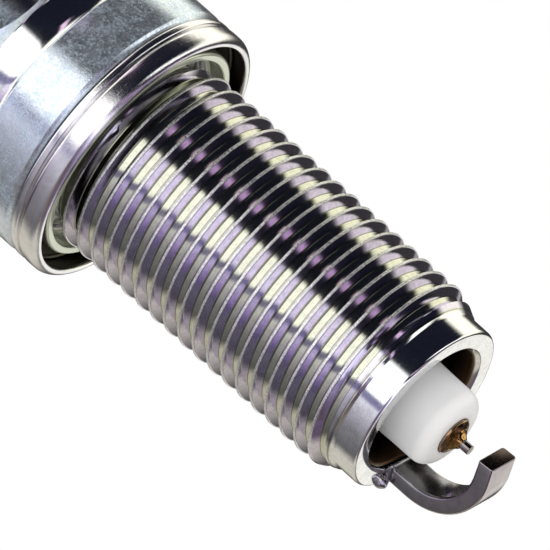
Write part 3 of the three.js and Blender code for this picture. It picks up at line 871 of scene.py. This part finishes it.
class PLUG_OT_insulator(bpy.types.Operator):
    """Make the alumina insulator with its nose and ribbed head"""

    bl_idname = "plug.insulator"
    bl_label = "Insulator"

    def execute(self, context):
        size = in_mm(context.scene.plug_insulator)
        bm = turned(insulator_profile(size), 160)
        material = ceramic_finish("Alumina", context.scene.plug_insulator.glaze)
        stamp_finish(bm, "Alumina_insulator", material, "insulator")
        return {"FINISHED"}


class PLUG_OT_centre_electrode(bpy.types.Operator):
    """Make the centre electrode, its copper core, the fused cone and the firing tip"""

    bl_idname = "plug.centre_electrode"
    bl_label = "Centre electrode"

    def execute(self, context):
        size = in_mm(context.scene.plug_electrode)
        paint = context.scene.plug_electrode
        rod = turned([
            (0.0, -27.08),
            (0.80, -27.08, 0.02, 2),
            (size.rod_r, -26.84, 0.06, 3),
            (size.rod_r, -9.55, 0.1, 2),
            (1.94, -9.1, 0.1, 2),
            (1.94, -8.2, 0.1, 2),
            (0.72, -8.2),
            (0.72, -25.5),
            (0.0, -25.5),
        ])
        alloy = heated_finish("Electrode alloy", paint.alloy, (0.34, 0.19, 0.06), 0.16,
                              -26.4, -26.95)
        stamp_finish(rod, "Electrode_rod", alloy.material, "centre_electrode")
        core = turned([
            (0.0, -25.47),
            (0.70, -25.47, 0.1, 3),
            (0.70, -8.2, 0.05, 2),
            (0.0, -8.2),
        ], 64)
        copper = heated_finish("Copper", (0.62, 0.30, 0.16), (0.50, 0.22, 0.11), 0.3, -20, -25)
        stamp_finish(core, "Copper_core", copper.material, "centre_electrode_core")
        fused = turned([
            (0.0, -27.09),
            (0.80, -27.09, 0.02, 2),
            (0.56, -27.26, 0.10, 4),
            (0.42, -27.46, 0.06, 3),
            (0.345, -27.52, 0.02, 2),
            (0.345, -27.22),
            (0.0, -27.22),
        ], 72)
        ripple(fused, 0.03, 2.6)
        cone = heated_finish("Fused cone", paint.fused, (0.50, 0.31, 0.11), 0.12, -27.1, -27.5)
        stamp_finish(fused, "Fused_cone", cone.material, "firing_tip_weld", crease=60)
        wire_tip = turned([
            (0.0, size.tip_z),
            (size.tip_r, size.tip_z, 0.03, 3),
            (size.tip_r, -27.24, 0.02, 2),
            (0.0, -27.24),
        ], 64)
        precious = heated_finish("Precious wire", (0.30, 0.27, 0.26), (0.26, 0.22, 0.19), 0.14,
                                 -27.6, -28.1)
        stamp_finish(wire_tip, "Wire_tip", precious.material, "firing_tip")
        return {"FINISHED"}


def ripple(bm, depth, scale):
    """Uneven skin of metal that was molten, kept within a fraction of its size."""
    bm.normal_update()
    for vert in bm.verts:
        vert.co += vert.normal * depth * noise.noise(vert.co * scale)


def bar_section(bm, size):
    """Rounded rectangle of the ground electrode at its foot, as a loop of edges."""
    made = bmesh.ops.create_grid(bm, x_segments=1, y_segments=1, size=0.5)
    bmesh.ops.scale(bm, vec=(size.bar_depth, size.bar_width, 1.0), verts=made["verts"])
    bmesh.ops.bevel(
        bm, geom=bm.verts[:], offset=0.20, offset_type="OFFSET", segments=5, profile=0.5,
        affect="VERTICES", material=-1,
    )
    bmesh.ops.translate(bm, vec=(size.foot_x, 0.0, size.foot_z), verts=bm.verts)


def pushed(bm, face, vec, keep=False):
    """Extrudes a face by a vector and gives back the new one, with or without the old one."""
    grown = bmesh.ops.extrude_face_region(bm, geom=[face])["geom"]
    if not keep:
        bmesh.ops.delete(bm, geom=[face], context="FACES_ONLY")
    bmesh.ops.translate(bm, vec=vec, verts=of_kind(bmesh.types.BMVert, grown))
    return of_kind(bmesh.types.BMFace, grown)[0]


STRAIGHT_ROWS = 4
# Painted shade: the ground bar's end face is painted near black
PAINTED_END_SHADE = rgb(0.10, 0.07, 0.06)
BEAD_PLACE = (-5.40, -1.55, -24.36)


class PLUG_OT_ground_electrode(bpy.types.Operator):
    """Make the bent ground electrode and the fused metal at its foot"""

    bl_idname = "plug.ground_electrode"
    bl_label = "Ground electrode"

    def execute(self, context):
        size = in_mm(context.scene.plug_electrode)
        size.foot_z = context.scene.plug_shell.end_z / MM - 0.02
        self.bar(size, context.scene.plug_electrode)
        self.weld(size)
        return {"FINISHED"}

    def bar(self, size, paint):
        bm = bmesh.new()
        bar_section(bm, size)
        rise = UP * (size.bend_z - size.foot_z) / STRAIGHT_ROWS
        lead = pushed(bm, bm.faces[:][0], rise, keep=True)
        for _ in range(STRAIGHT_ROWS - 1):
            lead = pushed(bm, lead, rise)
        bend = (size.foot_x + size.bend_r, 0.0, size.bend_z)
        spun = bmesh.ops.spin(
            bm, geom=[lead], cent=bend, axis=(0.0, -1.0, 0.0), dvec=ORIGIN, angle=size.sweep,
            steps=28, use_merge=False,
        )
        if lead.is_valid:
            bmesh.ops.delete(bm, geom=[lead], context="FACES_ONLY")
        heading = Vector((math.sin(size.sweep), 0.0, -math.cos(size.sweep)))
        lead = of_kind(bmesh.types.BMFace, spun["geom_last"])[0]
        tip = pushed(bm, lead, heading * size.arm)
        end = tip.calc_center_median().dot(heading)
        bmesh.ops.bevel(
            bm, geom=tip.edges[:], offset=0.09, offset_type="OFFSET", segments=3,
            profile=0.5, affect="EDGES", material=-1,
        )
        made = heated_finish("Ground alloy", paint.alloy, (0.44, 0.40, 0.40), 0.17,
                             -25.5, -30.0, 0.002)
        reach = made.graph.dot(made.place, tuple(heading))
        # Painted shade on the bar's end face
        made.lay_over(made.graph.fit(reach, (end - 0.05) * MM, (end - 0.01) * MM), PAINTED_END_SHADE)
        stamp_finish(bm, "Ground_bar", made.material, "ground_electrode",
                     crease=30)

    def weld(self, size):
        bm = bmesh.new()
        bmesh.ops.create_cube(bm, size=1.0)
        bmesh.ops.scale(
            bm, vec=(size.bar_depth + 0.44, size.bar_width + 0.44, 0.42), verts=bm.verts
        )
        bmesh.ops.bevel(
            bm, geom=bm.edges[:], offset=0.19, offset_type="OFFSET", segments=4, profile=0.5,
            affect="EDGES", material=-1,
        )
        bmesh.ops.subdivide_edges(bm, edges=bm.edges[:], cuts=3, use_grid_fill=True)
        bmesh.ops.translate(bm, vec=(size.foot_x, 0.0, size.foot_z - 0.17), verts=bm.verts)
        bead = bmesh.ops.create_icosphere(bm, subdivisions=4, radius=0.45)
        bmesh.ops.translate(bm, vec=BEAD_PLACE, verts=bead["verts"])
        ripple(bm, 0.10, 2.3)
        alloy = heated_finish("Fused metal", (0.34, 0.32, 0.35), (0.40, 0.38, 0.40), 0.13,
                              -24.8, -24.4)
        stamp_finish(bm, "Bar_weld", alloy.material, "ground_electrode_weld",
                     crease=70)


class PLUG_OT_cartridge(bpy.types.Operator):
    """Make the glass seals and the resistor inside the insulator"""

    bl_idname = "plug.cartridge"
    bl_label = "Seals and resistor"

    def execute(self, context):
        glass = mineral_finish("Glass seal", (0.10, 0.11, 0.12), (0.40, 0.26, 0.16), 0.3, 0.4,
                               0.12, 0.02)
        mix = mineral_finish("Resistor mix", (0.05, 0.05, 0.05), (0.22, 0.21, 0.20), 0.0, 0.8,
                             0.15, 0.03)
        lower = turned([(0.0, -8.15), (1.96, -8.15, 0.1, 3), (1.96, -3.0, 0.06, 2),
                        (0.0, -3.0)], 64)
        stamp_finish(lower, "Glass_seal_lower", glass, "lower_glass_seal")
        middle = turned([(0.0, -2.95), (1.96, -2.95, 0.06, 2), (1.96, 9.0, 0.06, 2),
                         (0.0, 9.0)], 64)
        stamp_finish(middle, "Resistor_plug", mix, "resistor")
        upper = turned([(0.0, 9.05), (1.96, 9.05, 0.06, 2), (1.96, 15.0, 0.12, 3),
                        (1.55, 14.92, 0.05, 2), (1.55, 10.45, 0.05, 2), (0.0, 10.45)], 64)
        stamp_finish(upper, "Glass_seal_upper", glass, "upper_glass_seal")
        return {"FINISHED"}


class PLUG_OT_packings(bpy.types.Operator):
    """Make the seat packing, the two wire rings and the talc between insulator and shell"""

    bl_idname = "plug.packings"
    bl_label = "Packings"

    def execute(self, context):
        steel = steel_finish("Packing steel", (0.45, 0.45, 0.46), 0.34, 0.1, 0.015, 0.4).material
        talc = mineral_finish("Talc", (0.78, 0.76, 0.70), (0.62, 0.60, 0.55), 0.0, 0.92, 0.2,
                              0.05)
        seat = turned([(3.97, -11.036, 0.04, 2), (4.65, -10.569, 0.04, 2),
                       (4.65, -10.269, 0.04, 2), (3.97, -10.736, 0.04, 2)], 96)
        stamp_finish(seat, "Seat_washer", steel, "seat_packing")
        for name, node, z in (("Wire_ring_lower", "lower_packing_ring", 14.05),
                              ("Wire_ring_upper", "upper_packing_ring", 17.75)):
            ring = bmesh.new()
            bmesh.ops.create_circle(
                ring, segments=20, radius=0.55,
                matrix=Matrix.Translation((5.9, 0.0, z)) @ Matrix.Rotation(math.pi / 2, 4, "X"),
            )
            turn(ring, 96)
            stamp_finish(ring, name, steel, node, crease=60)
        powder = turned([(5.3, 14.65, 0.05, 2), (6.5, 14.65, 0.05, 2), (6.5, 17.15, 0.05, 2),
                         (5.3, 17.15, 0.05, 2)], 96)
        stamp_finish(powder, "Talc_fill", talc, "talc_ring")
        return {"FINISHED"}


class PLUG_OT_terminal_stud(bpy.types.Operator):
    """Make the terminal stud with its collar and its thread"""

    bl_idname = "plug.terminal_stud"
    bl_label = "Terminal stud"

    def execute(self, context):
        size = in_mm(context.scene.plug_terminal)
        root_r = 1.6
        foot = 42.25
        head = size.stud_top - 0.25
        grooves = []
        for step in range(7):
            z = size.stud_foot + 0.7 + step * 1.2
            grooves += [(1.5, z, 0.04, 2), (1.3, z + 0.25, 0.04, 2), (1.5, z + 0.5, 0.04, 2)]
        stem = turned([
            (0.0, size.stud_foot),
            (1.25, size.stud_foot, 0.05, 2),
            (1.5, size.stud_foot + 0.3, 0.05, 2),
            *grooves,
            (1.5, 20.0, 0.05, 2),
            (1.75, 20.3, 0.05, 2),
            (1.75, 41.25, 0.03, 2),
            (3.2, 41.25, 0.08, 3),
            (3.2, 42.05, 0.14, 4),
            (root_r + 0.1, 42.05, 0.08, 3),
            (root_r, foot - SEAM),
        ])
        end = turned([(root_r, head + SEAM), (root_r - 0.02, size.stud_top - 0.12, 0.05, 2),
                      (root_r - 0.3, size.stud_top, 0.1, 3), (0.0, size.stud_top)], 96)
        section = thread_section(size.pitch, root_r, 1.97, root_half=0.08, crest_half=0.05,
                                 root_round=0.05, crest_round=0.03)
        bm = screw(section, size.pitch, 0.0, foot, head, 64)
        run_out(bm, root_r, foot, 1.2, head, 1.0)
        join(bm, stem)
        join(bm, end)
        bridge(bm, root_r, foot, foot - SEAM)
        bridge(bm, root_r, head, head + SEAM)
        steel = steel_finish(
            "Stud steel", context.scene.plug_terminal.steel, 0.26, 0.1, 0.012
        ).material
        stamp_finish(bm, "Threaded_stud", steel, "terminal_stud")
        return {"FINISHED"}


class PLUG_OT_terminal_nut(bpy.types.Operator):
    """Make the screw-on terminal nut"""

    bl_idname = "plug.terminal_nut"
    bl_label = "Terminal nut"

    def execute(self, context):
        size = in_mm(context.scene.plug_terminal)
        foot = size.nut_foot
        bm = turned([
            (2.06, foot, 0.12, 2),
            (3.6, foot, 0.22, 4),
            (3.6, foot + 1.25, 0.2, 4),
            (2.65, foot + 2.2, 0.3, 5),
            (2.65, foot + 3.4, 0.3, 5),
            (3.175, foot + 4.2, 0.2, 4),
            (3.175, size.nut_top - 0.6, 0.25, 4),
            (2.78, size.nut_top, 0.12, 3),
            (2.2, size.nut_top, 0.06, 2),
            (2.06, size.nut_top - 0.18, 0.05, 2),
        ], 128)
        plate = steel_finish("Terminal plating", (0.78, 0.78, 0.80), 0.16, 0.1, 0.008, 0.2).material
        stamp_finish(bm, "Screw_nut", plate, "terminal_nut", "terminal_nut")
        return {"FINISHED"}


# ------------------------------------------------------------------ stage

NAVY = (0.006, 0.007, 0.013)
WHITE = (1.0, 1.0, 1.0)
CREAM = (0.85, 0.83, 0.72)
SHADOW = (0.030, 0.028, 0.030)
SLATE = (0.14, 0.13, 0.24)
LILAC = (0.62, 0.44, 0.60)
HIGH_WHITE = (1.0, 0.97, 1.0)
TENT_BRIGHTNESS = 1.75


def degrees_to_ramp(stops):
    return [((azimuth + 180.0) / 360.0, shade) for azimuth, shade in stops]


# Shades that the walls of the light tent show, by azimuth from the camera's side
LOW_WALLS = degrees_to_ramp([
    (-180, SHADOW), (-166, SHADOW), (-150, (0.40, 0.38, 0.33)), (-122, (0.40, 0.38, 0.34)),
    (-108, (0.08, 0.08, 0.085)), (-75, (0.15, 0.145, 0.165)), (-55, (0.30, 0.29, 0.34)),
    (-38, (0.52, 0.51, 0.58)), (-35, SLATE), (-28, SLATE), (-25, WHITE), (14, WHITE),
    (18, NAVY), (102, NAVY), (110, CREAM), (136, CREAM), (147, SHADOW), (180, SHADOW),
])
HIGH_WALLS = degrees_to_ramp([
    (-180, SHADOW), (-168, SHADOW), (-152, (0.42, 0.39, 0.33)), (-138, (0.18, 0.16, 0.11)),
    (-128, (0.05, 0.04, 0.035)), (-96, (0.045, 0.025, 0.045)), (-82, (0.07, 0.045, 0.09)),
    (-71, (0.11, 0.08, 0.18)), (-57, (0.36, 0.29, 0.46)), (-42, (0.62, 0.57, 0.70)),
    (-37, (0.64, 0.60, 0.74)), (-35, SLATE), (-28, SLATE), (-25, HIGH_WHITE),
    (14, HIGH_WHITE), (18, NAVY), (43, NAVY), (46, LILAC), (55, LILAC), (58, NAVY),
    (102, NAVY), (110, CREAM), (136, CREAM), (147, SHADOW), (180, SHADOW),
])

# Shades below the plug, across the view
BELOW = [
    (0.0, (0.20, 0.16, 0.13)), (0.24, (0.07, 0.055, 0.065)), (0.33, (0.12, 0.09, 0.15)),
    (0.39, (0.28, 0.24, 0.36)), (0.402, SLATE), (0.41, SLATE), (0.42, (0.85, 0.82, 1.0)),
    (0.545, (0.88, 0.85, 1.0)), (0.556, NAVY), (0.622, NAVY), (0.63, (0.50, 0.37, 0.56)),
    (0.655, (0.50, 0.37, 0.56)), (0.665, NAVY), (0.79, NAVY), (0.82, WHITE), (1.0, CREAM),
]

# Spans of a direction's upward, forward and sideways parts over which one shade gives way
HIGH_FROM = (0.51, 0.57)
BELOW_FROM = (-0.64, -0.52)
ROOF_FROM = (0.76, 0.92)
CARD_BACK = (-0.60, -0.72)
CARD_TOP = (0.02, -0.10)
CARD_SIDE = (0.25, 0.20)
ROOF = rgb(1.0, 0.98, 0.90)
CARD = rgb(0.62, 0.61, 0.58)


def light_tent(graph):
    """Colour that polished metal mirrors, by direction."""
    facing = graph.node("ShaderNodeTexCoord").outputs["Generated"]
    forward = graph.dot(facing, tuple(TOWARDS_CAMERA))
    sideways = graph.dot(facing, tuple(ACROSS))
    upward = graph.dot(facing, AXIS)
    azimuth = graph.fit(graph.math("ARCTAN2", sideways, forward), -math.pi, math.pi)
    walls = graph.mix(graph.fit(upward, *HIGH_FROM, smooth=True),
                      graph.ramp(azimuth, LOW_WALLS), graph.ramp(azimuth, HIGH_WALLS))
    below = graph.ramp(graph.fit(sideways, -1.0, 1.0), BELOW)
    behind = graph.times(graph.fit(forward, *CARD_BACK), graph.fit(upward, *CARD_TOP))
    card = graph.times(behind, graph.fit(graph.math("ABSOLUTE", sideways), *CARD_SIDE))
    shade = graph.over(
        below, (graph.fit(upward, *BELOW_FROM, smooth=True), walls),
        (graph.fit(upward, *ROOF_FROM, smooth=True), ROOF), (card, CARD),
    )
    return graph.scaled(shade, TENT_BRIGHTNESS)


class PLUG_OT_stage(bpy.types.Operator):
    """Make the floor, the light tent and the camera"""

    bl_idname = "plug.stage"
    bl_label = "Stage"

    def execute(self, context):
        settings = context.scene.plug_stage
        self.floor(context, settings)
        self.world(context)
        self.lamps(context)
        self.camera(context, settings)
        context.scene.view_settings.view_transform = "Standard"
        return {"FINISHED"}

    def floor(self, context, settings):
        bm = bmesh.new()
        bmesh.ops.create_grid(bm, x_segments=8, y_segments=8, size=3.0)
        bmesh.ops.translate(bm, vec=(0.0, 0.0, settings.floor_z), verts=bm.verts)
        mesh = bpy.data.meshes.new("Floor")
        bm.to_mesh(mesh)
        bm.free()
        material = bpy.data.materials.new("Pale floor")
        material.use_nodes = True
        graph = Graph(material.node_tree)
        shader = material.node_tree.nodes["Principled BSDF"]
        shader.inputs["Base Color"].default_value = rgb(*settings.floor)
        shader.inputs["Roughness"].default_value = 0.9
        clear = graph.node("ShaderNodeBsdfTransparent").outputs[0]
        behind = graph.node("ShaderNodeNewGeometry").outputs["Backfacing"]
        both = graph.node("ShaderNodeMixShader", {0: behind, 1: shader.outputs[0], 2: clear})
        output = material.node_tree.nodes["Material Output"]
        material.node_tree.links.new(both.outputs[0], output.inputs["Surface"])
        mesh.materials.append(material)
        floor = bpy.data.objects.new("Floor", mesh)
        context.scene.collection.objects.link(floor)
        floor.visible_glossy = False

    def world(self, context):
        world = bpy.data.worlds.new("Light tent")
        world.use_nodes = True
        tree = world.node_tree
        tree.nodes.clear()
        graph = Graph(tree)
        path = graph.node("ShaderNodeLightPath")
        shade = light_tent(graph)
        shade = graph.over(shade, (path.outputs["Is Diffuse Ray"], rgb(0.80, 0.80, 0.80)),
                           (path.outputs["Is Camera Ray"], rgb(*WHITE)))
        light = graph.node("ShaderNodeBackground", {"Color": shade, "Strength": 1.0})
        graph.node("ShaderNodeOutputWorld", {"Surface": light.outputs[0]})
        context.scene.world = world

    def lamps(self, context):
        """Two wide soft lamps that shape the ceramic and the floor."""
        for name, power, width, place in (
            ("Key lamp", 1.3, 0.5, TOWARDS_CAMERA * 0.5 - ACROSS * 0.35 + UP * 0.55),
            ("Low lamp", 0.8, 0.4, TOWARDS_CAMERA * 0.3 + ACROSS * 0.2 - UP * 0.33),
        ):
            data = bpy.data.lights.new(name, "AREA")
            data.energy = power
            data.size = width
            lamp = bpy.data.objects.new(name, data)
            lamp.location = place
            lamp.rotation_euler = place.to_track_quat("Z", "Y").to_euler()
            lamp.visible_glossy = False
            context.scene.collection.objects.link(lamp)

    def camera(self, context, settings):
        lift = settings.elevation
        back = TOWARDS_CAMERA * math.cos(lift) + UP * math.sin(lift)
        along = -UP * math.cos(lift) + TOWARDS_CAMERA * math.sin(lift)
        right = along * math.cos(settings.roll) + ACROSS * math.sin(settings.roll)
        top = -along * math.sin(settings.roll) + ACROSS * math.cos(settings.roll)
        turned_by = Matrix((right, top, back)).transposed().to_4x4()
        aim = UP * settings.aim_z + ACROSS * 0.00005
        data = bpy.data.cameras.new("Camera")
        data.lens = data.sensor_width * settings.distance / settings.frame
        camera = bpy.data.objects.new("Camera", data)
        camera.matrix_world = Matrix.Translation(aim + back * settings.distance) @ turned_by
        context.scene.collection.objects.link(camera)
        context.scene.camera = camera


# ------------------------------------------------------------------ panel and registration

PIECES = (
    PLUG_OT_metal_shell,
    PLUG_OT_gasket,
    PLUG_OT_insulator,
    PLUG_OT_centre_electrode,
    PLUG_OT_ground_electrode,
    PLUG_OT_cartridge,
    PLUG_OT_packings,
    PLUG_OT_terminal_stud,
    PLUG_OT_terminal_nut,
    PLUG_OT_stage,
)

SETTINGS = {
    "plug_shell": ShellSizes,
    "plug_gasket": GasketSizes,
    "plug_insulator": InsulatorSizes,
    "plug_electrode": ElectrodeSizes,
    "plug_terminal": TerminalSizes,
    "plug_stage": StageSettings,
}


class PLUG_PT_build(bpy.types.Panel):
    """Lists the pieces and the stage"""

    bl_idname = "PLUG_PT_build"
    bl_label = "Spark Plug"
    bl_space_type = "VIEW_3D"
    bl_region_type = "UI"
    bl_category = TAB

    def draw(self, context):
        for operator in PIECES:
            self.layout.operator(operator.bl_idname)


def register():
    for cls in (*SETTINGS.values(), *PIECES, PLUG_PT_build):
        bpy.utils.register_class(cls)
    for name, cls in SETTINGS.items():
        setattr(bpy.types.Scene, name, bpy.props.PointerProperty(type=cls))


def unregister():
    for name in SETTINGS:
        delattr(bpy.types.Scene, name)
    for cls in reversed((*SETTINGS.values(), *PIECES, PLUG_PT_build)):
        bpy.utils.unregister_class(cls)


def main():
    register()
    for operator in PIECES:
        category, name = operator.bl_idname.split(".")
        getattr(getattr(bpy.ops, category), name)()


if __name__ == "__main__":
    main()
